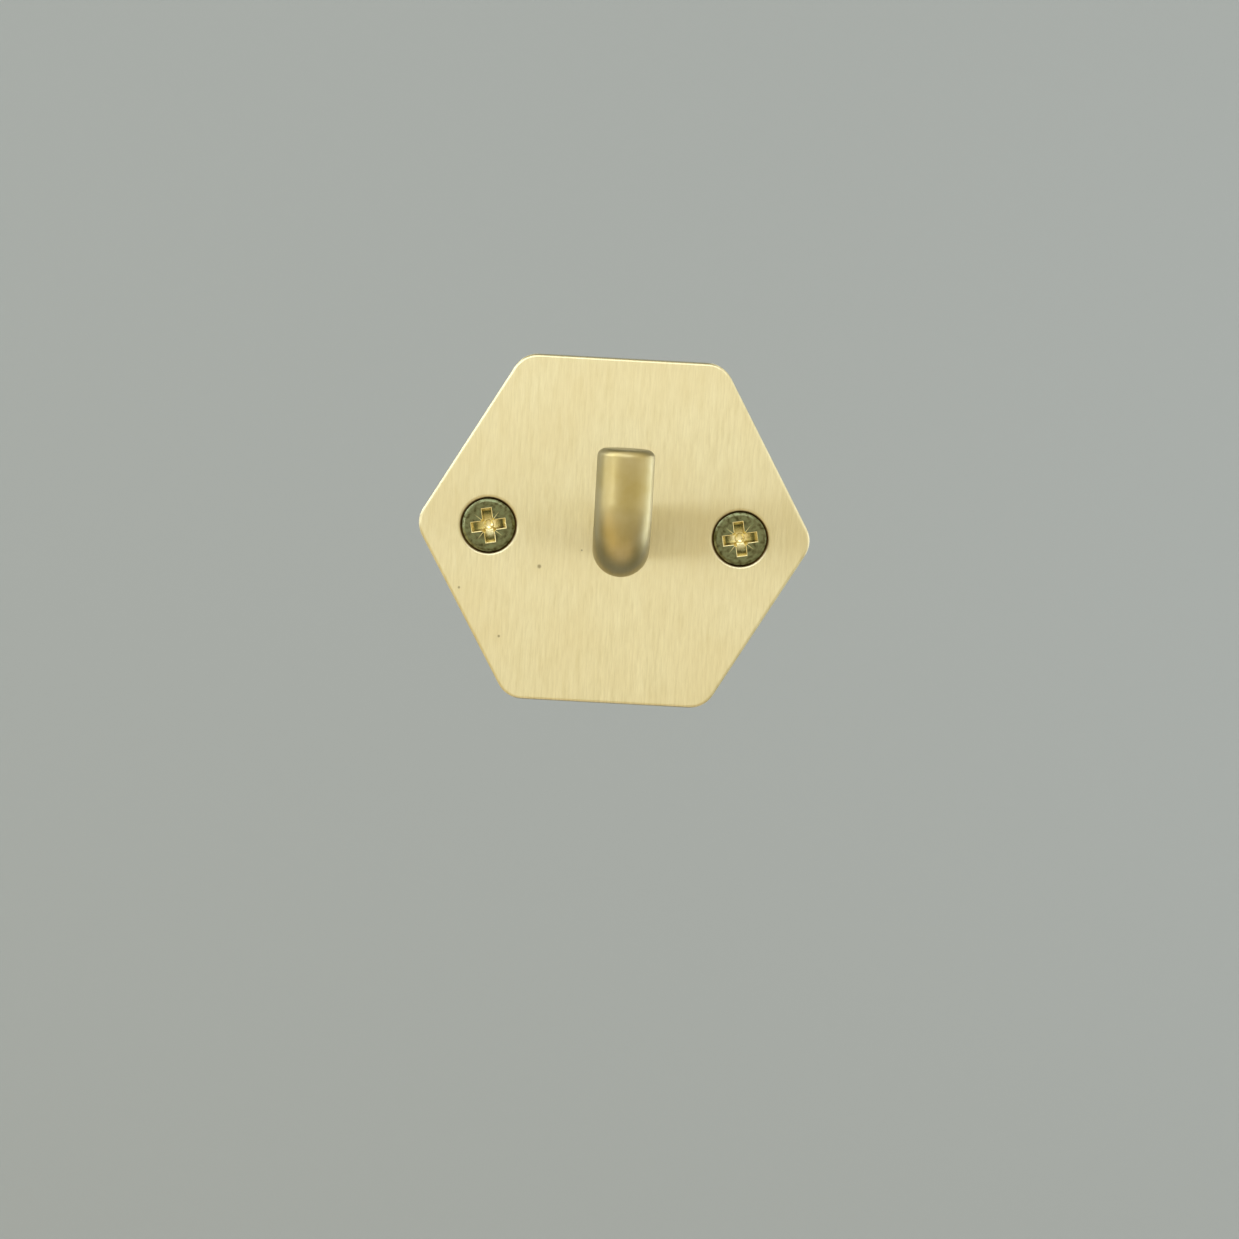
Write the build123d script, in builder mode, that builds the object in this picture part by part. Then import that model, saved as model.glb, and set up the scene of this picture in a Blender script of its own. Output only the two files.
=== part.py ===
from build123d import *
from math import cos, radians, sin, tan
import os

# A wall hook. A hexagonal brass plate lies on the wall, held by a countersunk wood screw near each of its side
# corners. A round brass bar stands out from its middle and turns up into the hook, and a machine screw from
# behind holds the bar on the plate.
# Millimetres. The origin is the middle of the plate's back face, +Z is up, +X is to the right as seen from the
# room, and the wall is on the +Y side.

# The plate, with its flat sides at the top and the bottom
plate_across_flats = 45.0
plate_thickness = 3.0
plate_corner_radius = 3.6
plate_edge_round = 0.4  # all round the front

# The bar that makes the hook
bar_diameter = 7.0
bar_sideways = 0.7  # it stands this far to the right of the plate's middle
hook_reach = 30.0  # plate's front to the middle of the upright
hook_rise = 12.6  # middle of the bar's foot to the top of the upright
bend_radius = 6.3  # at the middle of the bar
tip_round = 1.0
foot_chamfer = 0.3

# What both kinds of screw share
countersink_angle = 90.0
head_land = 0.3  # short straight wall between a head's face and its cone
head_chamfer = 0.15
seat_gap = 0.02  # between a head's cone and its countersink

# The wood screws in the wall
screw_inset = 9.6  # from where the plate's sides would meet, were its corners sharp
screw_length = 30.0
screw_head_diameter = 7.0
screw_neck_diameter = 4.0
screw_shank_diameter = 3.5
screw_hole_gap = 0.2  # between the neck and its hole
thread_length = 18.0
thread_runout = 0.6
thread_core_diameter = 2.4
point_length = 3.6
recess_turn = 10.5  # degrees past upright at which both were left, anticlockwise from the front

# The machine screw behind the bar
machine_screw_length = 10.0
machine_screw_diameter = 4.0
machine_head_diameter = 7.5
machine_head_sink = 0.1  # its head lies this far inside the plate's back
machine_hole_gap = 0.25  # between the screw and the plate
machine_thread_gap = 0.05  # between the screw and the bar
machine_tip_chamfer = 0.5
tapping_room = 1.5  # the bar's hole goes on this far past the screw

# The cross recess in each head
recess_span = 4.3
recess_arm = 1.05
recess_depth = 1.7
recess_draft = 9.0
recess_core_depth = 2.1
recess_core_diameter = 2.3
recess_core_end = 0.8

plate_across_corners = plate_across_flats / cos(radians(30))
screw_spacing = plate_across_corners - 2 * screw_inset
plate_front = Plane.XZ.offset(plate_thickness)
plate_back = Plane(origin=(0, 0, 0), x_dir=(-1, 0, 0), z_dir=(0, 1, 0))


def cone_depth(wide_diameter, narrow_diameter):
    """How far a countersunk cone runs from one diameter to the other."""
    return (wide_diameter - narrow_diameter) / 2 / tan(radians(countersink_angle / 2))


def countersink_radius(head_diameter, sink=0.0):
    """The mouth that lets a head lie this far inside the face, with its cone on the countersink's."""
    return head_diameter / 2 + seat_gap + (sink + head_land) * tan(radians(countersink_angle / 2))


def cut_cross_recess(face):
    """Cut the recess for a cross-tip driver into the screw being made, from its head's face."""
    with BuildSketch(face) as cross:
        Rectangle(recess_span, recess_arm)
        Rectangle(recess_arm, recess_span)
    extrude(cross.sketch, amount=-recess_depth, taper=recess_draft, mode=Mode.SUBTRACT)
    with Locations(face.offset(-recess_core_depth / 2)):
        Cone(recess_core_end / 2, recess_core_diameter / 2, recess_core_depth, mode=Mode.SUBTRACT)


os.makedirs("parts", exist_ok=True)

# Backplate: cut from flat bar, its front edge broken, drilled and countersunk
with BuildPart() as backplate:
    with BuildSketch(Plane.XZ) as outline:
        RegularPolygon(plate_across_flats / 2, side_count=6, major_radius=False)
        fillet(outline.vertices(), plate_corner_radius)
    extrude(amount=plate_thickness)
    fillet(backplate.faces().sort_by(Axis.Y)[0].edges(), plate_edge_round)
    with Locations(plate_front):
        with GridLocations(screw_spacing, 0, 2, 1):
            CounterSinkHole(
                radius=screw_neck_diameter / 2 + screw_hole_gap,
                counter_sink_radius=countersink_radius(screw_head_diameter),
                counter_sink_angle=countersink_angle,
            )
    with Locations(plate_back):
        with Locations((-bar_sideways, 0)):
            CounterSinkHole(
                radius=machine_screw_diameter / 2 + machine_hole_gap,
                counter_sink_radius=countersink_radius(machine_head_diameter, machine_head_sink),
                counter_sink_angle=countersink_angle,
            )
backplate.part.label = "backplate"
export_step(backplate.part, "parts/backplate.step")

# Hook: one round bar bent a quarter turn, with a rounded rim at its tip and a tapped hole in its foot
with BuildPart() as hook:
    with BuildLine(Plane.YZ.offset(bar_sideways)) as bar_middle:
        FilletPolyline(
            (-plate_thickness, 0),
            (-plate_thickness - hook_reach, 0),
            (-plate_thickness - hook_reach, hook_rise),
            radius=bend_radius,
        )
    with BuildSketch(plate_front):
        with Locations((bar_sideways, 0)):
            Circle(bar_diameter / 2)
    sweep(path=bar_middle.wires()[0])
    fillet(hook.faces().sort_by(Axis.Z)[-1].edges(), tip_round)
    foot = hook.faces().filter_by(Axis.Y).sort_by(Axis.Y)[-1]
    chamfer(foot.edges(), foot_chamfer)
    with Locations(plate_back.offset(-plate_thickness)):
        with Locations((-bar_sideways, 0)):
            Hole(
                radius=machine_screw_diameter / 2 + machine_thread_gap,
                depth=machine_screw_length - plate_thickness + tapping_room,
            )
hook.part.label = "hook"
export_step(hook.part, "parts/hook.step")

# Hook screw: a countersunk machine screw, driven from behind until its head is inside the plate's back
machine_cone_start = -machine_head_sink - head_land
machine_cone_end = machine_cone_start - cone_depth(machine_head_diameter, machine_screw_diameter)
with BuildPart() as hook_screw:
    with BuildSketch(Plane(origin=(bar_sideways, 0, 0))):
        with BuildLine():
            Polyline(
                (0, -machine_head_sink),
                (machine_head_diameter / 2, -machine_head_sink),
                (machine_head_diameter / 2, machine_cone_start),
                (machine_screw_diameter / 2, machine_cone_end),
                (machine_screw_diameter / 2, -machine_screw_length),
                (0, -machine_screw_length),
                close=True,
            )
        make_face()
    revolve(axis=Axis((bar_sideways, 0, 0), (0, 1, 0)))
    screw_ends = hook_screw.faces().filter_by(Axis.Y).sort_by(Axis.Y)
    chamfer(screw_ends[0].edges(), machine_tip_chamfer)
    chamfer(screw_ends[-1].edges(), head_chamfer)
    cut_cross_recess(Plane(origin=(bar_sideways, -machine_head_sink, 0), z_dir=(0, 1, 0)))
hook_screw.part.label = "hook_screw"
export_step(hook_screw.part, "parts/hook_screw.step")

# Wood screws: head flush with the plate, neck in the plate, plain shank into the wall, then core and point
cone_start = -plate_thickness + head_land
cone_end = cone_start + cone_depth(screw_head_diameter, screw_neck_diameter)
screw_tip = screw_length - plate_thickness
thread_start = screw_tip - thread_length
recess_up = (-sin(radians(recess_turn)), 0, cos(radians(recess_turn)))
for screw_name, side in (("screw_left", -1), ("screw_right", 1)):
    screw_x = side * screw_spacing / 2
    with BuildPart() as wood_screw:
        with BuildSketch(Plane(origin=(screw_x, 0, 0))):
            with BuildLine():
                Polyline(
                    (0, -plate_thickness),
                    (screw_head_diameter / 2, -plate_thickness),
                    (screw_head_diameter / 2, cone_start),
                    (screw_neck_diameter / 2, cone_end),
                    (screw_shank_diameter / 2, 0),
                    (screw_shank_diameter / 2, thread_start),
                    (thread_core_diameter / 2, thread_start + thread_runout),
                    (thread_core_diameter / 2, screw_tip - point_length),
                    (0, screw_tip),
                    close=True,
                )
            make_face()
        revolve(axis=Axis((screw_x, 0, 0), (0, 1, 0)))
        chamfer(wood_screw.faces().filter_by(Axis.Y).edges(), head_chamfer)
        cut_cross_recess(Plane(origin=(screw_x, -plate_thickness, 0), x_dir=recess_up, z_dir=(0, -1, 0)))
    wood_screw.part.label = screw_name
    export_step(wood_screw.part, f"parts/{screw_name}.step")
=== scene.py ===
from math import atan2, cos, hypot, pi, radians, sin, tan, tau

import bmesh
import bpy
from mathutils import Matrix, Vector


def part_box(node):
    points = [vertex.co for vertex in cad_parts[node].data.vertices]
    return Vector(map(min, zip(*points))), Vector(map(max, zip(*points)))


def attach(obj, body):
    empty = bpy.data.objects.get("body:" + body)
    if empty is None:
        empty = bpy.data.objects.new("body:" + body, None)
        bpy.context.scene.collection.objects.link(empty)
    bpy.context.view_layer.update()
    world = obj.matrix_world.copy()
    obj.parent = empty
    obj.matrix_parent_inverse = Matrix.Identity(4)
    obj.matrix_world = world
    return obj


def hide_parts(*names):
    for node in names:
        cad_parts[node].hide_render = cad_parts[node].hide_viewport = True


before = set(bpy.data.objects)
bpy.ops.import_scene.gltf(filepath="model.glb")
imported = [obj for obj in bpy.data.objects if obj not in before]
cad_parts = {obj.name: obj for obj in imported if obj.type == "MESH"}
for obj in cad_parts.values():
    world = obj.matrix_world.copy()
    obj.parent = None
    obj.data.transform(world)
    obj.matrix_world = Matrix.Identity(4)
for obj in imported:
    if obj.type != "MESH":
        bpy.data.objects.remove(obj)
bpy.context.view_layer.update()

# A wall hook: a hexagonal satin brass plate, a bent brass bar that stands out of it and turns up, the
# machine screw behind the bar, and two yellow passivated wood screws. Metres, in the frame of the packed
# part: the plate lies on the wall at y = 0, the room is on the -Y side, +X is to the right and +Z is up.
MM = 0.001


# Backplate: a hexagon of brass, its front edge rolled over, with two countersunk holes for the wood screws
# and one from behind for the bar's. Its front is linished up and down on a belt and left uncoated.
plate_low, plate_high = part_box("backplate")
plate_front = plate_low.y
plate_back = plate_high.y
plate_half_height = plate_high.z
plate_corner_radius = 3.6 * MM
plate_edge_round = 0.4 * MM
edge_steps = 6
corner_steps = 9
mouth_steps = 6
drill_sides = 96
hook_low, hook_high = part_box("hook")
bar_radius = (hook_high.x - hook_low.x) / 2
bar_sideways = (hook_high.x + hook_low.x) / 2
screw_places = {}
for name in ("screw_left", "screw_right"):
    screw_low, screw_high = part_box(name)
    screw_places[name] = (screw_low.x + screw_high.x) / 2
screw_head_radius = (screw_high.x - screw_low.x) / 2
head_land = 0.3 * MM
seat_gap = 0.02 * MM
screw_neck_radius = 2.0 * MM
screw_hole_radius = 2.2 * MM
mouth_radius = screw_head_radius + head_land + seat_gap
mouth_round = 0.6 * MM
machine_low, machine_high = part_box("hook_screw")
machine_head_radius = (machine_high.x - machine_low.x) / 2
machine_face = machine_high.y
machine_hole_radius = 2.25 * MM
machine_mouth_radius = machine_head_radius + head_land - machine_face + seat_gap
past = 1.0 * MM  # how far a cutter reaches beyond what it cuts
weld = 0.0005 * MM  # corners nearer than this are one corner


def linear(hex_colour):
    """An sRGB hex colour as the linear colour that the shaders take."""
    parts = [int(hex_colour[i : i + 2], 16) / 255 for i in (1, 3, 5)]
    return [p / 12.92 if p <= 0.04045 else ((p + 0.055) / 1.055) ** 2.4 for p in parts] + [1.0]


def add(tree, kind, inputs, **settings):
    """Adds a node with its settings. Each input is a value or another node's socket, by name or by number."""
    node = tree.nodes.new(kind)
    for name, value in settings.items():
        setattr(node, name, value)
    for name, value in inputs.items():
        if isinstance(value, bpy.types.NodeSocket):
            tree.links.new(value, node.inputs[name])
        else:
            node.inputs[name].default_value = value
    return node


def place(name, bm):
    """Makes a piece of a finished bmesh, with its faces outwards."""
    bmesh.ops.remove_doubles(bm, verts=bm.verts, dist=weld)
    bmesh.ops.recalc_face_normals(bm, faces=bm.faces)
    mesh = bpy.data.meshes.new(name)
    bm.to_mesh(mesh)
    bm.free()
    piece = bpy.data.objects.new(name, mesh)
    bpy.context.scene.collection.objects.link(piece)
    return piece


def turned(name, profile, sides):
    """A solid turned about Y from (radius, y) points that start and end on the axis, flat or pointed."""
    bm = bmesh.new()
    rings = []
    for radius, y in profile:
        count = sides if radius > 0 else 1
        ring = [(radius * cos(tau * i / sides), y, radius * sin(tau * i / sides)) for i in range(count)]
        rings.append([bm.verts.new(spot) for spot in ring])
    flat_start = profile[0][1] == profile[1][1]
    flat_end = profile[-1][1] == profile[-2][1]
    for flat, ring, middle in ((flat_start, rings[1], rings[0]), (flat_end, rings[-2], rings[-1])):
        if flat:
            bm.faces.new(ring)
            bm.verts.remove(middle[0])
            rings.remove(middle)
    for a, b in zip(rings, rings[1:]):
        for i in range(sides):
            j = (i + 1) % sides
            corners = [a[i % len(a)], a[j % len(a)], b[j % len(b)], b[i % len(b)]]
            bm.faces.new(list(dict.fromkeys(corners)))
    return place(name, bm)


def cut(piece, cutter):
    """Takes the cutter's shape out of the piece, and the cutter out of the scene."""
    boolean = piece.modifiers.new("cut", "BOOLEAN")
    boolean.operation = "DIFFERENCE"
    boolean.solver = "EXACT"
    boolean.object = cutter
    settle(piece)
    bpy.data.objects.remove(cutter)
    # Where two cuts cross, the boolean leaves pairs of corners almost on one spot.
    bm = bmesh.new()
    bm.from_mesh(piece.data)
    bmesh.ops.remove_doubles(bm, verts=bm.verts, dist=weld)
    bm.to_mesh(piece.data)
    bm.free()


def settle(piece):
    """Turns what a piece's modifiers make into its own plain mesh."""
    bpy.context.view_layer.update()
    done = piece.evaluated_get(bpy.context.evaluated_depsgraph_get())
    mesh = bpy.data.meshes.new_from_object(done)
    piece.modifiers.clear()
    piece.data = mesh


def shade(piece, sharp_angle=35):
    """Shades a finished piece smooth, apart from its sharp edges, with its flat faces truly flat."""
    piece.data.shade_smooth()
    piece.data.set_sharp_from_angle(angle=radians(sharp_angle))
    weights = piece.modifiers.new("flat faces", "WEIGHTED_NORMAL")
    weights.keep_sharp = True
    weights.weight = 100
    settle(piece)


# The plate's outline is the same six corner arcs at every depth, with a smaller radius over the rolled edge.
corner_reach = (plate_half_height - plate_corner_radius) / cos(pi / 6)
bm = bmesh.new()
levels = [(plate_corner_radius, plate_back), (plate_corner_radius, plate_front + plate_edge_round)]
for step in range(1, edge_steps + 1):
    turn = step / edge_steps * pi / 2
    levels.append(
        (
            plate_corner_radius - plate_edge_round * (1 - cos(turn)),
            plate_front + plate_edge_round * (1 - sin(turn)),
        )
    )
loops = []
for radius, y in levels:
    loop = []
    for corner in range(6):
        for step in range(corner_steps + 1):
            turn = corner * pi / 3 + (step / corner_steps - 0.5) * pi / 3
            x = corner_reach * cos(corner * pi / 3) + radius * cos(turn)
            z = corner_reach * sin(corner * pi / 3) + radius * sin(turn)
            loop.append(bm.verts.new((x, y, z)))
    loops.append(loop)
bm.faces.new(loops[0])
bm.faces.new(loops[-1])
for a, b in zip(loops, loops[1:]):
    for i in range(len(a)):
        j = (i + 1) % len(a)
        bm.faces.new((a[i], a[j], b[j], b[i]))
backplate = place("brass_backplate", bm)

# The belt has rounded the mouths of the countersinks a little.
mouth_edge = mouth_radius + mouth_round * tan(pi / 8)
hole_profile = [(0, plate_front - past), (mouth_edge + past, plate_front - past)]
for step in range(mouth_steps + 1):
    turn = step / mouth_steps * pi / 4
    hole_profile.append((mouth_edge - mouth_round * sin(turn), plate_front + mouth_round * (1 - cos(turn))))
hole_profile += [
    (screw_hole_radius, plate_front + mouth_radius - screw_hole_radius),
    (screw_hole_radius, plate_back + past),
    (0, plate_back + past),
]
for name, x in screw_places.items():
    drill = turned("drill", hole_profile, drill_sides)
    drill.data.transform(Matrix.Translation((x, 0, 0)))
    cut(backplate, drill)
drill = turned(
    "drill",
    [
        (0, plate_back + past),
        (machine_mouth_radius + past, plate_back + past),
        (machine_hole_radius, plate_back - machine_mouth_radius + machine_hole_radius),
        (machine_hole_radius, plate_front - past),
        (0, plate_front - past),
    ],
    drill_sides,
)
drill.data.transform(Matrix.Translation((bar_sideways, 0, 0)))
cut(backplate, drill)
shade(backplate)

# Painted shade: the countersinks' walls are painted dark brown from a little way in, for the shade in the gap
# round the screw heads. The plate's two flat faces are not.
shade_start = 0.05 * MM
shade_fade = 0.12 * MM
painted_countersink_shade = backplate.data.attributes.new("painted_countersink_shade", "FLOAT", "CORNER")
for face in backplate.data.polygons:
    off_screw = hypot(abs(face.center.x) - screw_places["screw_right"], face.center.z)
    is_flat = abs(face.normal.y) > 0.999
    for index in face.loop_indices:
        spot = backplate.data.vertices[backplate.data.loops[index].vertex_index].co
        shaded = min(max((spot.y - plate_front - shade_start) / shade_fade, 0), 1)
        painted_countersink_shade.data[index].value = shaded if off_screw < mouth_edge and not is_flat else 0

# The belt's lines run up and down, so the way across them, along X, is the rough one: the map's U axis is X.
# The map leans a little with depth, so that the plate's edges have some room on it too.
map_lean = 0.1
plate_map = backplate.data.uv_layers.new(name="across_the_grain")
for loop in backplate.data.loops:
    spot = backplate.data.vertices[loop.vertex_index].co
    plate_map.data[loop.index].uv = ((spot.x + map_lean * spot.y) / MM, (spot.z + map_lean * spot.y) / MM)

# Linished brass is a pale gold with fine upright lines, and its glow spreads to both sides of a light.
linished_brass = bpy.data.materials.new("linished satin brass")
linished_brass.use_nodes = True
tree = linished_brass.node_tree
tree.nodes.clear()
spot = add(tree, "ShaderNodeTexCoord", {}).outputs["Object"]
# The belt's grit leaves lines about 0.05 mm wide. Here they are 0.15 mm wide, to show in the picture, and on
# the plate's edges they run across its thickness.
fine_way = add(
    tree,
    "ShaderNodeMapping",
    {"Vector": spot, "Scale": (1 / 0.15 / MM, 1 / 6.0 / MM, 1 / 1.6 / MM)},
)
fine = add(
    tree,
    "ShaderNodeTexNoise",
    {"Vector": fine_way.outputs[0], "Scale": 1.0, "Detail": 3.0, "Roughness": 0.65},
)
broad_way = add(
    tree,
    "ShaderNodeMapping",
    {"Vector": spot, "Scale": (1 / 0.4 / MM, 1 / 8.0 / MM, 1 / 3.5 / MM)},
)
broad = add(
    tree,
    "ShaderNodeTexNoise",
    {"Vector": broad_way.outputs[0], "Scale": 1.0, "Detail": 2.0, "Roughness": 0.5},
)
cloud_way = add(tree, "ShaderNodeMapping", {"Vector": spot, "Scale": (1 / 9.0 / MM,) * 3})
cloud = add(tree, "ShaderNodeTexNoise", {"Vector": cloud_way.outputs[0], "Scale": 1.0, "Detail": 2.0})
lines = add(tree, "ShaderNodeMix", {0: 0.5, 2: fine.outputs["Fac"], 3: broad.outputs["Fac"]})
tone = add(
    tree,
    "ShaderNodeMapRange",
    {"Value": lines.outputs[0], "From Min": 0.26, "From Max": 0.74, "To Min": 0.0, "To Max": 1.0},
)
brass = add(
    tree,
    "ShaderNodeMix",
    {0: tone.outputs[0], 6: linear("#D6CBA0"), 7: linear("#F8F0CB")},
    data_type="RGBA",
)
aired = add(
    tree,
    "ShaderNodeMapRange",
    {"Value": cloud.outputs["Fac"], "From Min": 0.35, "From Max": 0.75, "To Min": 0.0, "To Max": 0.35},
)
brass = add(
    tree,
    "ShaderNodeMix",
    {0: aired.outputs[0], 6: brass.outputs[2], 7: linear("#E0D0A0")},
    data_type="RGBA",
)
# Four small dark nicks, right and up from the plate's middle and across, in millimetres.
for right, up, size in ((-4.1, -2.6, 0.16), (-9.5, -5.0, 0.34), (-14.3, -14.4, 0.22), (-19.8, -8.3, 0.22)):
    nick = Vector((right * MM, plate_front, up * MM))
    away = add(tree, "ShaderNodeVectorMath", {0: spot, 1: nick}, operation="DISTANCE").outputs["Value"]
    nicked = add(
        tree,
        "ShaderNodeMapRange",
        {"Value": away, "From Min": 0.4 * size * MM, "From Max": size * MM, "To Min": 0.6, "To Max": 0.0},
    )
    brass = add(
        tree,
        "ShaderNodeMix",
        {0: nicked.outputs[0], 6: brass.outputs[2], 7: linear("#5E4E22")},
        data_type="RGBA",
    )
# Painted shade in the countersinks, dark brown.
shade_in_countersink = add(tree, "ShaderNodeAttribute", {}, attribute_name="painted_countersink_shade").outputs["Fac"]
brass = add(
    tree,
    "ShaderNodeMix",
    {0: shade_in_countersink, 6: brass.outputs[2], 7: linear("#5A4420")},
    data_type="RGBA",
)
rough = add(
    tree,
    "ShaderNodeMapRange",
    {"Value": lines.outputs[0], "From Min": 0.3, "From Max": 0.7, "To Min": 0.42, "To Max": 0.55},
)
grain = add(
    tree,
    "ShaderNodeBump",
    {"Height": lines.outputs[0], "Strength": 0.6, "Distance": 0.02 * MM},
)
across = add(tree, "ShaderNodeTangent", {}, direction_type="UV_MAP", uv_map="across_the_grain")
shader = add(
    tree,
    "ShaderNodeBsdfPrincipled",
    {
        "Base Color": brass.outputs[2],
        "Metallic": 1.0,
        "Roughness": rough.outputs[0],
        "Anisotropic": 0.9,
        "Tangent": across.outputs[0],
        "Normal": grain.outputs[0],
    },
)
add(tree, "ShaderNodeOutputMaterial", {"Surface": shader.outputs[0]})
backplate.data.materials.clear()
backplate.data.materials.append(linished_brass)
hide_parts("backplate")
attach(backplate, "root")


# Hook bar: a round brass bar, bent a quarter turn cold, its top end turned flat with a rounded rim, and its
# foot drilled and tapped for the screw behind it. It is polished along its length. The hole in its foot
# doesn't show and is left out here.
bar_foot = hook_high.y
bar_reach = bar_foot - hook_low.y - bar_radius
bar_rise = hook_high.z
bend_radius = 6.3 * MM
bend_steps = 28
tip_round = 1.0 * MM
foot_round = 0.3 * MM
bar_sides = 96
near = 0.001 * MM

bar_line = bpy.data.meshes.new("bar_line")
bar_line.from_pydata(
    [
        (bar_sideways, bar_foot, 0),
        (bar_sideways, bar_foot - bar_reach, 0),
        (bar_sideways, bar_foot - bar_reach, bar_rise),
    ],
    [(0, 1), (1, 2)],
    [],
)
hook = bpy.data.objects.new("brass_hook_bar", bar_line)
bpy.context.scene.collection.objects.link(hook)

satin_brass_bar = bpy.data.materials.new("polished satin brass")
bender = bpy.data.node_groups.new("bend the bar", "GeometryNodeTree")
for name, kind, value in (
    ("Geometry", "NodeSocketGeometry", None),
    ("Bar Radius", "NodeSocketFloat", bar_radius),
    ("Bend Radius", "NodeSocketFloat", bend_radius),
    ("Bend Steps", "NodeSocketInt", bend_steps),
    ("Bar Sides", "NodeSocketInt", bar_sides),
):
    socket = bender.interface.new_socket(name, in_out="INPUT", socket_type=kind)
    if value is not None:
        socket.default_value = value
bender.interface.new_socket("Geometry", in_out="OUTPUT", socket_type="NodeSocketGeometry")
sizes = bender.nodes.new("NodeGroupInput").outputs
line = add(bender, "GeometryNodeMeshToCurve", {"Mesh": sizes["Geometry"]})
bent = add(
    bender,
    "GeometryNodeFilletCurve",
    {"Curve": line.outputs[0], "Count": sizes["Bend Steps"], "Radius": sizes["Bend Radius"]},
    mode="POLY",
)
along = add(bender, "GeometryNodeSplineParameter", {})
length = add(bender, "GeometryNodeCaptureAttribute", {"Geometry": bent.outputs[0]}, domain="POINT")
length.capture_items.new("FLOAT", "Length")
bender.links.new(along.outputs["Length"], length.inputs["Length"])
ring = add(
    bender,
    "GeometryNodeCurvePrimitiveCircle",
    {"Resolution": sizes["Bar Sides"], "Radius": sizes["Bar Radius"]},
)
ring_spot = add(bender, "GeometryNodeInputPosition", {})
place_round = add(bender, "GeometryNodeCaptureAttribute", {"Geometry": ring.outputs[0]}, domain="POINT")
place_round.capture_items.new("VECTOR", "Place")
bender.links.new(ring_spot.outputs[0], place_round.inputs["Place"])
bar = add(
    bender,
    "GeometryNodeCurveToMesh",
    {"Curve": length.outputs[0], "Profile Curve": place_round.outputs[0], "Fill Caps": True},
)
round_parts = add(bender, "ShaderNodeSeparateXYZ", {0: place_round.outputs[1]})
straight = add(
    bender,
    "ShaderNodeCombineXYZ",
    {0: round_parts.outputs[0], 1: round_parts.outputs[1], 2: length.outputs[1]},
)
kept = add(
    bender,
    "GeometryNodeStoreNamedAttribute",
    {"Geometry": bar.outputs[0], "Name": "straight_bar", "Value": straight.outputs[0]},
    data_type="FLOAT_VECTOR",
    domain="POINT",
)
real = add(bender, "GeometryNodeRealizeInstances", {"Geometry": kept.outputs[0]})
finish = add(bender, "GeometryNodeSetMaterial", {"Geometry": real.outputs[0], "Material": satin_brass_bar})
add(bender, "NodeGroupOutput", {"Geometry": finish.outputs[0]})
bend = hook.modifiers.new("bend", "NODES")
bend.node_group = bender
settle(hook)

# The ends are still sharp: the rim of each is rounded, the tip's by more.
bm = bmesh.new()
bm.from_mesh(hook.data)
bmesh.ops.remove_doubles(bm, verts=bm.verts, dist=near)
for rim_round, steps, is_rim in (
    (tip_round, 10, lambda v: abs(v.co.z - bar_rise) < near),
    (foot_round, 3, lambda v: abs(v.co.y - bar_foot) < near),
):
    rim = [e for e in bm.edges if all(is_rim(v) for v in e.verts) and len(e.link_faces) == 2]
    bmesh.ops.bevel(bm, geom=rim, offset=rim_round, segments=steps, profile=0.5, affect="EDGES")
bmesh.ops.recalc_face_normals(bm, faces=bm.faces)
bm.to_mesh(hook.data)
bm.free()
shade(hook)

# The bar's lines run along it, so its rough way is round the bar: the map's U axis goes round.
round_map = hook.data.uv_layers.new(name="round_the_bar")
unbent = hook.data.attributes["straight_bar"].data
for face in hook.data.polygons:
    turns = []
    for index in face.loop_indices:
        spot = unbent[hook.data.loops[index].vertex_index].vector
        turn = atan2(spot.y, spot.x)
        if turns and turn - turns[0] > pi:
            turn -= tau
        if turns and turns[0] - turn > pi:
            turn += tau
        turns.append(turn)
        round_map.data[index].uv = (turn * bar_radius / MM, spot.z / MM)

# Satin polished brass is smoother than the plate, and shows the room as soft strips along it. Its colour is
# darker and browner than the plate's brass, as painted shade that tones down its lit side.
satin_brass_bar.use_nodes = True
tree = satin_brass_bar.node_tree
tree.nodes.clear()
spot = add(tree, "ShaderNodeTexCoord", {}).outputs["Object"]
straight = add(tree, "ShaderNodeAttribute", {}, attribute_name="straight_bar").outputs["Vector"]
# Its lines are drawn 0.25 mm wide, several times as coarse as they are, to show in the picture.
along_way = add(
    tree,
    "ShaderNodeMapping",
    {"Vector": straight, "Scale": (1 / 0.25 / MM, 1 / 0.25 / MM, 1 / 5.0 / MM)},
)
scratch = add(
    tree,
    "ShaderNodeTexNoise",
    {"Vector": along_way.outputs[0], "Scale": 1.0, "Detail": 3.0, "Roughness": 0.6},
)
cloud_way = add(tree, "ShaderNodeMapping", {"Vector": spot, "Scale": (1 / 3.5 / MM,) * 3})
cloud = add(tree, "ShaderNodeTexNoise", {"Vector": cloud_way.outputs[0], "Scale": 1.0, "Detail": 3.0})
tone = add(
    tree,
    "ShaderNodeMapRange",
    {"Value": cloud.outputs["Fac"], "From Min": 0.3, "From Max": 0.7, "To Min": 0.0, "To Max": 1.0},
)
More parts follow.
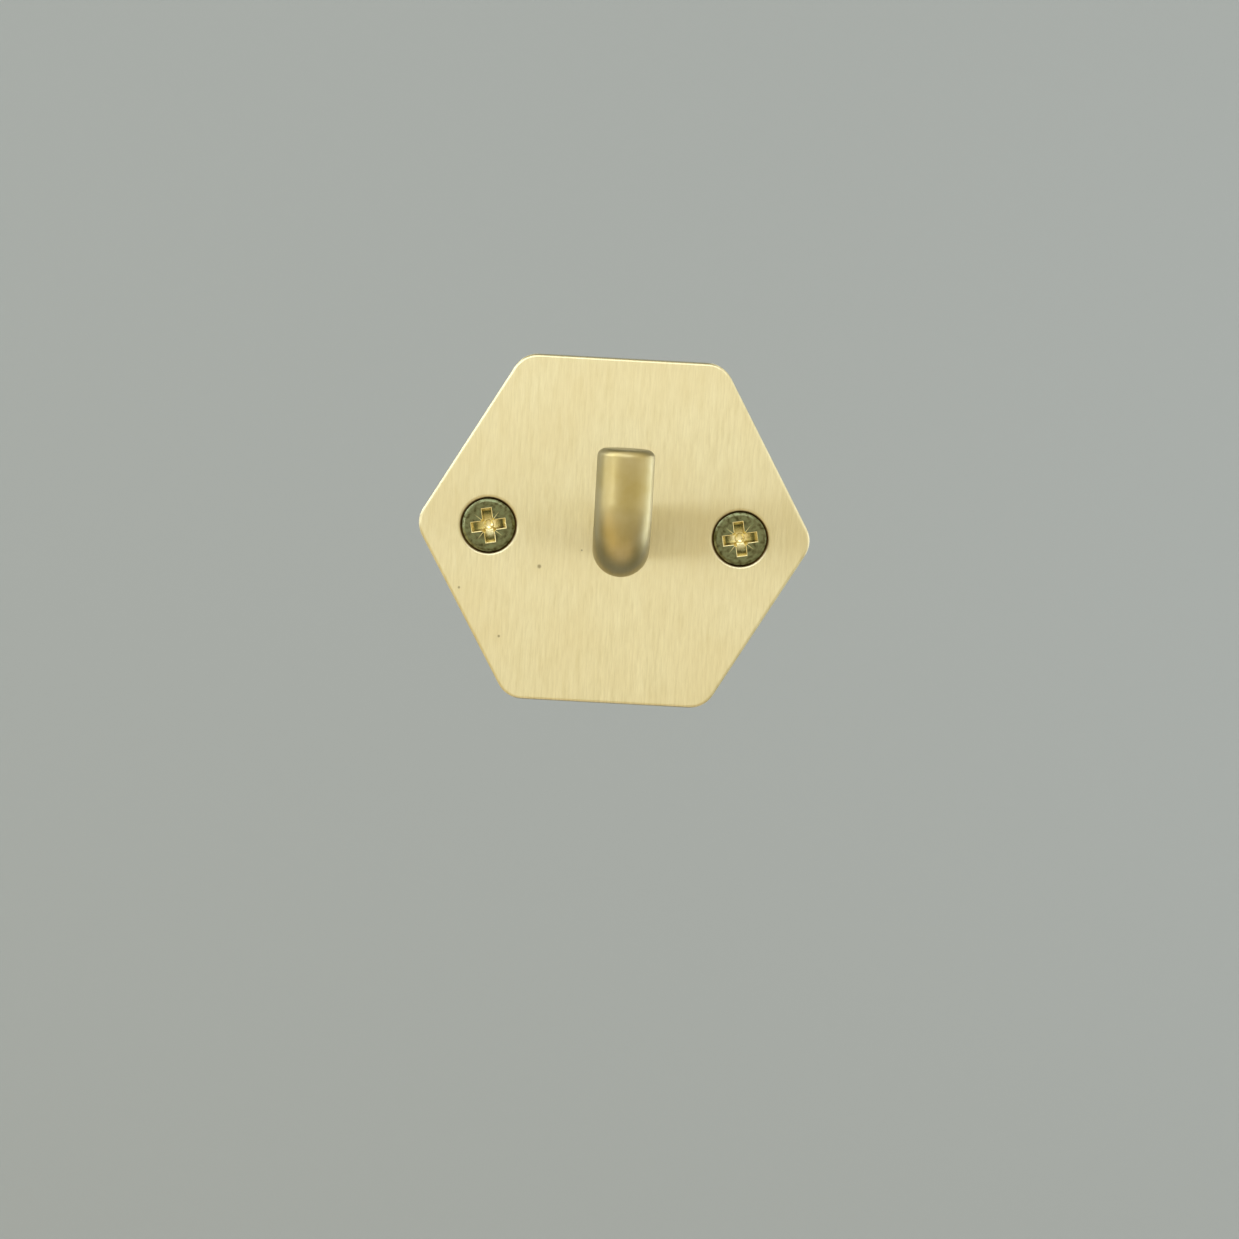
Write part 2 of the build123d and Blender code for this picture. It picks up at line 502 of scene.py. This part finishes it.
# Painted shade: a darker, browner copy of the plate's brass.
brass = add(
    tree,
    "ShaderNodeMix",
    {0: tone.outputs[0], 6: linear("#AC9C66"), 7: linear("#B6A97E")},
    data_type="RGBA",
)
rough = add(
    tree,
    "ShaderNodeMapRange",
    {"Value": scratch.outputs["Fac"], "From Min": 0.3, "From Max": 0.7, "To Min": 0.36, "To Max": 0.46},
)
grain = add(
    tree,
    "ShaderNodeBump",
    {"Height": scratch.outputs["Fac"], "Strength": 0.35, "Distance": 0.012 * MM},
)
across = add(tree, "ShaderNodeTangent", {}, direction_type="UV_MAP", uv_map="round_the_bar")
shader = add(
    tree,
    "ShaderNodeBsdfPrincipled",
    {
        "Base Color": brass.outputs[2],
        "Metallic": 1.0,
        "Roughness": rough.outputs[0],
        "Anisotropic": 0.5,
        "Tangent": across.outputs[0],
        "Normal": grain.outputs[0],
    },
)
add(tree, "ShaderNodeOutputMaterial", {"Surface": shader.outputs[0]})
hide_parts("hook")
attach(hook, "root")


# Hook screw: a countersunk machine screw of bright zinc plated steel, driven through the plate from behind
# into the bar's foot. Its thread is rolled and its cross recess is punched, both cold.
machine_root_radius = 1.6 * MM
machine_crest_radius = 2.0 * MM
machine_pitch = 0.7 * MM
machine_tip = machine_low.y
head_chamfer = 0.15 * MM
recess_half_span = 2.15 * MM
recess_half_arm = 0.55 * MM
# In millimetres: the lip's depths with how far it spreads there, the floor of an arm and of the pit as depth,
# reach and half width, and the core's depths with its radius.
recess_lip = ((0.0, 0.18), (0.02, 0.12), (0.06, 0.07), (0.14, 0.03), (0.28, 0.0))
recess_floor = ((1.0, 1.75, 0.50), (1.6, 0.70, 0.44))
recess_core = ((0.0, 1.15), (1.5, 0.80), (2.1, 0.0))
core_sides = 32
tick_reach = 2.35 * MM
tick_half_width = 0.04 * MM
tick_depth = 0.06 * MM
thread_steps = 14
thread_sides = 64

thread_roller = bpy.data.node_groups.new("roll the thread", "GeometryNodeTree")
for name, kind in (
    ("Geometry", "NodeSocketGeometry"),
    ("Pitch", "NodeSocketFloat"),
    ("Height", "NodeSocketFloat"),
    ("Ridge Share", "NodeSocketFloat"),
    ("Start", "NodeSocketFloat"),
    ("End", "NodeSocketFloat"),
    ("Run Out", "NodeSocketFloat"),
    ("Material", "NodeSocketMaterial"),
):
    thread_roller.interface.new_socket(name, in_out="INPUT", socket_type=kind)
thread_roller.interface.new_socket("Geometry", in_out="OUTPUT", socket_type="NodeSocketGeometry")
sizes = thread_roller.nodes.new("NodeGroupInput").outputs
place_on_blank = add(thread_roller, "GeometryNodeInputPosition", {})
parts = add(thread_roller, "ShaderNodeSeparateXYZ", {0: place_on_blank.outputs[0]}).outputs
sums = {socket.name: socket for socket in (*sizes, *parts)}
for name, operation, *values in (
    # How near each point is to the thread's crest: 1 on it, 0 between the ridges.
    ("angle", "ARCTAN2", "Z", "X"),
    ("turn", "DIVIDE", "angle", tau),
    ("pitches", "DIVIDE", "Y", "Pitch"),
    ("pitches behind", "SUBTRACT", "pitches", "turn"),
    ("phase", "FRACT", "pitches behind"),
    ("off the middle", "SUBTRACT", "phase", 0.5),
    ("off the crest", "ABSOLUTE", "off the middle"),
    ("half ridge", "MULTIPLY", "Ridge Share", 0.5),
    ("down the ridge", "DIVIDE", "off the crest", "half ridge"),
    ("up the ridge", "SUBTRACT", 1.0, "down the ridge"),
    ("ridge", "MAXIMUM", "up the ridge", 0.0),
    # The thread rises from nothing at one end and sinks to nothing at the other.
    ("past the start", "SUBTRACT", "Y", "Start"),
    ("run in", "DIVIDE", "past the start", "Run Out"),
    ("before the end", "SUBTRACT", "End", "Y"),
    ("run off", "DIVIDE", "before the end", "Run Out"),
    ("nearer run", "MINIMUM", "run in", "run off"),
    ("at most full", "MINIMUM", "nearer run", 1.0),
    ("fade", "MAXIMUM", "at most full", 0.0),
    ("faded ridge", "MULTIPLY", "ridge", "fade"),
    ("lift", "MULTIPLY", "faded ridge", "Height"),
):
    terms = {i: sums.get(value, value) for i, value in enumerate(values)}
    sums[name] = add(thread_roller, "ShaderNodeMath", terms, operation=operation).outputs[0]
sideways = add(thread_roller, "ShaderNodeCombineXYZ", {"X": parts["X"], "Z": parts["Z"]})
outwards = add(thread_roller, "ShaderNodeVectorMath", {0: sideways.outputs[0]}, operation="NORMALIZE")
push = add(
    thread_roller,
    "ShaderNodeVectorMath",
    {0: outwards.outputs[0], "Scale": sums["lift"]},
    operation="SCALE",
)
rolled = add(
    thread_roller,
    "GeometryNodeSetPosition",
    {"Geometry": sizes["Geometry"], "Offset": push.outputs[0]},
)
real = add(thread_roller, "GeometryNodeRealizeInstances", {"Geometry": rolled.outputs[0]})
finish = add(
    thread_roller,
    "GeometryNodeSetMaterial",
    {"Geometry": real.outputs[0], "Material": sizes["Material"]},
)
add(thread_roller, "NodeGroupOutput", {"Geometry": finish.outputs[0]})


def roll_thread(screw, values):
    """Raises a thread on a turned blank. The values are the roller's named inputs."""
    modifier = screw.modifiers.new("thread", "NODES")
    modifier.node_group = thread_roller
    for item in thread_roller.interface.items_tree:
        if item.in_out == "INPUT" and item.name in values:
            modifier[item.identifier] = values[item.name]
    settle(screw)


def blank_steps(start, end, start_radius, end_radius, pitch):
    """Points along a plain stretch of a blank, close enough together to take a thread of this pitch."""
    count = round(abs(end - start) / pitch * thread_steps)
    return [
        (start_radius + (end_radius - start_radius) * i / count, start + (end - start) * i / count)
        for i in range(1, count + 1)
    ]


def punch_recess(screw, face, inwards, turn):
    """Punches the cross recess into a head that lies at y = face. Inwards is +1 or -1 along Y."""
    rims = []
    for depth, lip in recess_lip:
        rims.append((depth * MM, recess_half_span + lip * MM, recess_half_arm + lip * MM))
    rims.insert(0, (-past, rims[0][1] + past, rims[0][2] + past))
    floor, pit = [(depth * MM, reach * MM, arm * MM) for depth, reach, arm in recess_floor]
    for quarter in (0, 1):
        bm = bmesh.new()
        rows = []
        for depth, reach, arm in rims + [floor, pit]:
            corners = ((-reach, -arm), (reach, -arm), (reach, arm), (-reach, arm))
            rows.append([bm.verts.new((x, face + inwards * depth, z)) for x, z in corners])
        bm.faces.new(rows[0])
        bm.faces.new(rows[-1])
        for a, b in zip(rows, rows[1:]):
            for i in range(4):
                bm.faces.new((a[i], a[(i + 1) % 4], b[(i + 1) % 4], b[i]))
        wing = place("punch", bm)
        wing.data.transform(Matrix.Rotation(-turn - quarter * pi / 2, 4, "Y"))
        cut(screw, wing)
    core = [(0, face - inwards * past), (recess_core[0][1] * MM, face - inwards * past)]
    core += [(radius * MM, face + inwards * depth * MM) for depth, radius in recess_core]
    cut(screw, turned("punch", core, core_sides))
    for quarter in range(4):
        bm = bmesh.new()
        corners = []
        for x, depth in (
            (0, -past),
            (tick_reach, -past),
            (tick_reach, 0),
            (recess_core[0][1] * MM, tick_depth),
            (0, tick_depth),
        ):
            y = face + inwards * depth
            corners.append([bm.verts.new((x, y, side * tick_half_width)) for side in (-1, 1)])
        bm.faces.new([c[0] for c in corners])
        bm.faces.new([c[1] for c in corners])
        for a, b in zip(corners, corners[1:] + corners[:1]):
            bm.faces.new((a[0], b[0], b[1], a[1]))
        tick = place("punch", bm)
        tick.data.transform(Matrix.Rotation(-turn - (quarter + 0.5) * pi / 2, 4, "Y"))
        cut(screw, tick)


# Bright zinc plate is a thin blue-white coat, faintly clouded, that mirrors the room softly.
bright_zinc = bpy.data.materials.new("bright zinc plate")
bright_zinc.use_nodes = True
tree = bright_zinc.node_tree
tree.nodes.clear()
spot = add(tree, "ShaderNodeTexCoord", {}).outputs["Object"]
cloud_way = add(tree, "ShaderNodeMapping", {"Vector": spot, "Scale": (1 / 1.2 / MM,) * 3})
cloud = add(tree, "ShaderNodeTexNoise", {"Vector": cloud_way.outputs[0], "Scale": 1.0, "Detail": 4.0})
zinc = add(
    tree,
    "ShaderNodeMix",
    {0: cloud.outputs["Fac"], 6: linear("#B4B8BC"), 7: linear("#D5D8DB")},
    data_type="RGBA",
)
rough = add(tree, "ShaderNodeMapRange", {"Value": cloud.outputs["Fac"], "To Min": 0.22, "To Max": 0.38})
shader = add(
    tree,
    "ShaderNodeBsdfPrincipled",
    {"Base Color": zinc.outputs[2], "Metallic": 1.0, "Roughness": rough.outputs[0]},
)
add(tree, "ShaderNodeOutputMaterial", {"Surface": shader.outputs[0]})

machine_cone_start = machine_face - head_land
machine_cone_end = machine_cone_start - (machine_head_radius - machine_root_radius)
machine_profile = [
    (0, machine_face),
    (machine_head_radius - head_chamfer, machine_face),
    (machine_head_radius, machine_face - head_chamfer),
    (machine_head_radius, machine_cone_start),
    (machine_root_radius, machine_cone_end),
]
machine_profile += blank_steps(
    machine_cone_end, machine_tip + head_chamfer, machine_root_radius, machine_root_radius, machine_pitch
)
machine_profile += [(machine_root_radius - 2 * head_chamfer, machine_tip), (0, machine_tip)]
hook_screw = turned("hook_machine_screw", machine_profile, thread_sides)
punch_recess(hook_screw, machine_face, -1, 0.0)
roll_thread(
    hook_screw,
    {
        "Pitch": machine_pitch,
        "Height": machine_crest_radius - machine_root_radius,
        "Ridge Share": 0.9,
        "Start": machine_tip,
        "End": machine_cone_end,
        "Run Out": machine_pitch,
        "Material": bright_zinc,
    },
)
hook_screw.data.transform(Matrix.Translation((bar_sideways, 0, 0)))
shade(hook_screw)
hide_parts("hook_screw")
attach(hook_screw, "root")


# Wood screws: countersunk heads with a cross recess and four small marks between its arms, on a shank with a
# coarse thread and a point. They are steel, cold headed and rolled, then zinc plated and yellow passivated.
screw_face = screw_low.y
screw_tip = screw_high.y
screw_shank_radius = 1.75 * MM
screw_core_radius = 1.2 * MM
screw_pitch = 1.6 * MM
thread_length = 18.0 * MM
point_length = 3.6 * MM
run_out = 0.6 * MM
recess_turn = radians(10.5)
# Where a head is painted dark as shade and where it is painted bright as a highlight: depths below its face,
# and reaches from its middle.
face_skin = 0.01 * MM
lip_bottom = 0.3 * MM
recess_side = 0.85 * MM
recess_edge = 2.6 * MM
recess_bottom = 2.2 * MM
cone_skin = 0.35 * MM
# How much of the pale colour the shank gets, and the recess at its middle, where 1 is all pale, and what a
# millimetre outwards takes off the recess, as painted shade towards the ends of its arms.
shank_lightness = 0.8
middle_lightness = 1.6
lightness_loss = 0.9

# The passivation is a thin film on the zinc, gold and mottled olive, kept dark on the face as painted shade,
# with a pale gold painted into the recess as a highlight.
yellow_zinc = bpy.data.materials.new("yellow passivated zinc")
yellow_zinc.use_nodes = True
tree = yellow_zinc.node_tree
tree.nodes.clear()
spot = add(tree, "ShaderNodeTexCoord", {}).outputs["Object"]
film_way = add(tree, "ShaderNodeMapping", {"Vector": spot, "Scale": (1 / 0.6 / MM,) * 3})
film = add(tree, "ShaderNodeTexNoise", {"Vector": film_way.outputs[0], "Scale": 1.0, "Detail": 4.0})
pits = add(
    tree,
    "ShaderNodeBump",
    {"Height": film.outputs["Fac"], "Strength": 0.8, "Distance": 0.03 * MM},
)
blotch = add(
    tree,
    "ShaderNodeMapRange",
    {"Value": film.outputs["Fac"], "From Min": 0.35, "From Max": 0.65},
)
gold = add(
    tree,
    "ShaderNodeMix",
    {0: blotch.outputs[0], 6: linear("#474428"), 7: linear("#8F8C68")},
    data_type="RGBA",
)
green = add(
    tree,
    "ShaderNodeMapRange",
    {"Value": film.outputs["Fac"], "From Min": 0.42, "From Max": 0.62, "To Min": 0.1, "To Max": 0.55},
)
passivated = add(
    tree,
    "ShaderNodeMix",
    {0: green.outputs[0], 6: gold.outputs[2], 7: linear("#596A4C")},
    data_type="RGBA",
)
painted_light_mask = add(tree, "ShaderNodeAttribute", {}, attribute_name="painted_light_mask").outputs["Fac"]
# Painted highlight: the pale gold where the mask is high, in the recess.
passivated = add(
    tree,
    "ShaderNodeMix",
    {0: painted_light_mask, 6: passivated.outputs[2], 7: linear("#EBDEAA")},
    data_type="RGBA",
)
rough = add(tree, "ShaderNodeMapRange", {"Value": film.outputs["Fac"], "To Min": 0.16, "To Max": 0.30})
shader = add(
    tree,
    "ShaderNodeBsdfPrincipled",
    {
        "Base Color": passivated.outputs[2],
        "Metallic": 1.0,
        "Roughness": rough.outputs[0],
        "Normal": pits.outputs[0],
    },
)
add(tree, "ShaderNodeOutputMaterial", {"Surface": shader.outputs[0]})

cone_start = screw_face + head_land
cone_end = cone_start + screw_head_radius - screw_neck_radius
thread_start = screw_tip - thread_length
core_start = thread_start + run_out
point_start = screw_tip - point_length
# The rim of the head's face, in millimetres: how far in from its edge, and how deep.
head_rim = (
    (0.50, 0.0),
    (0.41, 0.012),
    (0.34, 0.04),
    (0.13, 0.135),
    (0.06, 0.18),
    (0.02, 0.23),
    (0.0, 0.28),
)
screw_profile = [(0, screw_face)]
screw_profile += [(screw_head_radius - inset * MM, screw_face + depth * MM) for inset, depth in head_rim]
screw_profile += [
    (screw_head_radius, cone_start),
    (screw_neck_radius, cone_end),
    (screw_shank_radius, 0),
    (screw_shank_radius, thread_start),
]
screw_profile += blank_steps(thread_start, core_start, screw_shank_radius, screw_core_radius, screw_pitch)
screw_profile += blank_steps(core_start, point_start, screw_core_radius, screw_core_radius, screw_pitch)
screw_profile += blank_steps(point_start, screw_tip, screw_core_radius, 0, screw_pitch)[:-1]
screw_profile += [(0, screw_tip)]
for name, x in screw_places.items():
    screw = turned(name.replace("screw", "wood_screw"), screw_profile, thread_sides)
    punch_recess(screw, screw_face, 1, recess_turn)
    roll_thread(
        screw,
        {
            "Pitch": screw_pitch,
            "Height": screw_shank_radius - screw_core_radius,
            "Ridge Share": 0.55,
            "Start": thread_start,
            "End": screw_tip,
            "Run Out": screw_pitch,
            "Material": yellow_zinc,
        },
    )
    shade(screw)
    # Painted light: the face is left dark as painted shade. The recess is painted pale as a highlight, apart
    # from the far ends of its arms, which fade darker as painted shade, and the cone and shank are kept
    # mostly pale.
    painted_light_mask = screw.data.attributes.new("painted_light_mask", "FLOAT", "POINT")
    for vertex in screw.data.vertices:
        across = abs(vertex.co.x * cos(recess_turn) + vertex.co.z * sin(recess_turn))
        up = abs(vertex.co.z * cos(recess_turn) - vertex.co.x * sin(recess_turn))
        off_middle = hypot(across, up)
        depth = vertex.co.y - screw_face
        if depth > recess_bottom or depth > cone_skin and off_middle > recess_edge:
            value = shank_lightness
        elif depth < face_skin or off_middle > recess_edge or min(across, up) > recess_side:
            value = 0
        elif depth < lip_bottom:
            value = 1
        else:
            value = min(max(middle_lightness - lightness_loss * off_middle / MM, 0), 1)
        painted_light_mask.data[vertex.index].value = value
    screw.data.transform(Matrix.Translation((x, 0, 0)))
    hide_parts(name)
    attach(screw, "root")


# Floor and backdrop: one pale matt sheet of paper that lies flat and sweeps up far behind the hook, so that
# it shows plain from the front and doesn't hide the hook from behind.
floor_height = -1.2
sweep_start = 0.4
sweep_radius = 0.3
sheet_half_width = 6.0
sheet_front = -6.0
sheet_top = 4.0
sweep_steps = 24

bm = bmesh.new()
line = [(sheet_front, floor_height)]
for step in range(sweep_steps + 1):
    turn = step / sweep_steps * pi / 2
    line.append((sweep_start + sweep_radius * sin(turn), floor_height + sweep_radius * (1 - cos(turn))))
line.append((sweep_start + sweep_radius, sheet_top))
edges = [[bm.verts.new((x, y, z)) for y, z in line] for x in (-sheet_half_width, sheet_half_width)]
for i in range(len(line) - 1):
    bm.faces.new((edges[0][i], edges[1][i], edges[1][i + 1], edges[0][i + 1]))
mesh = bpy.data.meshes.new("paper_sweep")
bm.to_mesh(mesh)
bm.free()
mesh.shade_smooth()
paper = bpy.data.materials.new("matt pale grey paper")
paper.use_nodes = True
tree = paper.node_tree
tree.nodes.clear()
# Matt paper has no gloss. It is a cool grey behind the hook and paler towards the front of the room.
spot = add(tree, "ShaderNodeTexCoord", {}).outputs["Object"]
inwards = add(tree, "ShaderNodeSeparateXYZ", {0: spot}).outputs["Y"]
behind = add(tree, "ShaderNodeMapRange", {"Value": inwards, "From Min": -2.0, "From Max": -0.3})
grey = add(
    tree,
    "ShaderNodeMix",
    {0: behind.outputs[0], 6: linear("#DADAD4"), 7: linear("#959B9E")},
    data_type="RGBA",
)
shader = add(tree, "ShaderNodeBsdfPrincipled", {"Base Color": grey.outputs[2], "Roughness": 0.9})
add(tree, "ShaderNodeOutputMaterial", {"Surface": shader.outputs[0]})
mesh.materials.append(paper)
sweep = bpy.data.objects.new("paper_sweep", mesh)
bpy.context.scene.collection.objects.link(sweep)


# Lights: soft panels round the hook in a bright plain room. Each is given by its turn from the front and its
# height in degrees, its width and height in metres, its watts and its tint. The two high at the left throw
# the bar's soft shadow to the right. Those past 90 degrees light the plate's edges and the bar's sides.
lamp_distance = 0.8
lamps = (
    ("low_left", -47, -1, 0.28, 0.14, 0.52, "#E2EDFF"),
    ("low_far_left", -80, -3, 0.36, 0.16, 0.35, "#E2EDFF"),
    ("middle_left", -70, 25, 0.50, 0.26, 1.66, "#E2EDFF"),
    ("high_left", -62, 48, 0.55, 0.50, 1.90, "#E2EDFF"),
    ("high_front", 0, 40, 0.60, 0.30, 1.21, "#E2EDFF"),
    ("edge_right", 110, -8, 0.50, 0.70, 1.69, "#E2EDFF"),
    ("floor_left", -60, -38, 0.60, 0.75, 1.26, "#FFE4AD"),
    ("floor_front", 0, -42, 0.60, 0.75, 0.42, "#FFE4AD"),
    ("floor_right", 60, -38, 0.60, 0.75, 0.43, "#FFE4AD"),
    ("under", 0, -82, 0.90, 0.50, 0.95, "#FFE4C8"),
    ("side_low_left", -92, -30, 0.40, 0.70, 0.13, "#FFF1D4"),
    ("edge_left", -122, 0, 0.30, 0.70, 0.50, "#E2EDFF"),
    ("strip_right", 119, 0, 0.25, 0.70, 1.60, "#E2EDFF"),
    ("middle_right", 72, 5, 0.50, 0.50, 0.36, "#E2EDFF"),
)
for name, turn, height, wide, tall, watts, tint in lamps:
    light = bpy.data.lights.new(name, "AREA")
    light.shape = "RECTANGLE"
    light.size = wide
    light.size_y = tall
    light.energy = watts
    light.color = linear(tint)[:3]
    lamp = bpy.data.objects.new(name, light)
    turn, height = radians(turn), radians(height)
    way = Vector((sin(turn) * cos(height), -cos(turn) * cos(height), sin(height)))
    lamp.location = way * lamp_distance
    lamp.rotation_euler = way.to_track_quat("Z", "Y").to_euler()
    lamp.visible_camera = False
    bpy.context.scene.collection.objects.link(lamp)

world = bpy.data.worlds.new("soft room")
world.use_nodes = True
world.node_tree.nodes.clear()
room = add(world.node_tree, "ShaderNodeBackground", {"Color": linear("#FFF8E2"), "Strength": 1.06})
add(world.node_tree, "ShaderNodeOutputWorld", {"Surface": room.outputs[0]})
bpy.context.scene.world = world
bpy.context.scene.view_settings.view_transform = "Standard"


# Camera: where the photograph was taken from, a little above the hook and turned with the picture. Its place,
# its turns and its lens were fitted to the plate's corners, the two screw heads and the bar's near end.
photo_width = 1239
focal_pixels = 3319
camera_place = Vector((-3.5, -433.0, 35.5)) * MM
camera_pitch = radians(-6.22)
camera_yaw = radians(0.64)
camera_roll = radians(3.18)
forward = Vector((sin(camera_yaw), cos(camera_yaw), tan(camera_pitch))).normalized()
level = Vector((cos(camera_yaw), -sin(camera_yaw), 0))
upright = level.cross(forward)
right = level * cos(camera_roll) + upright * sin(camera_roll)
up = upright * cos(camera_roll) - level * sin(camera_roll)
camera_data = bpy.data.cameras.new("camera")
camera_data.sensor_width = 36
camera_data.lens = camera_data.sensor_width * focal_pixels / photo_width
camera_data.clip_start = 0.01
camera_data.clip_end = 50
camera = bpy.data.objects.new("camera", camera_data)
camera.matrix_world = Matrix.Translation(camera_place) @ Matrix((right, up, -forward)).transposed().to_4x4()
bpy.context.scene.collection.objects.link(camera)
bpy.context.scene.camera = camera
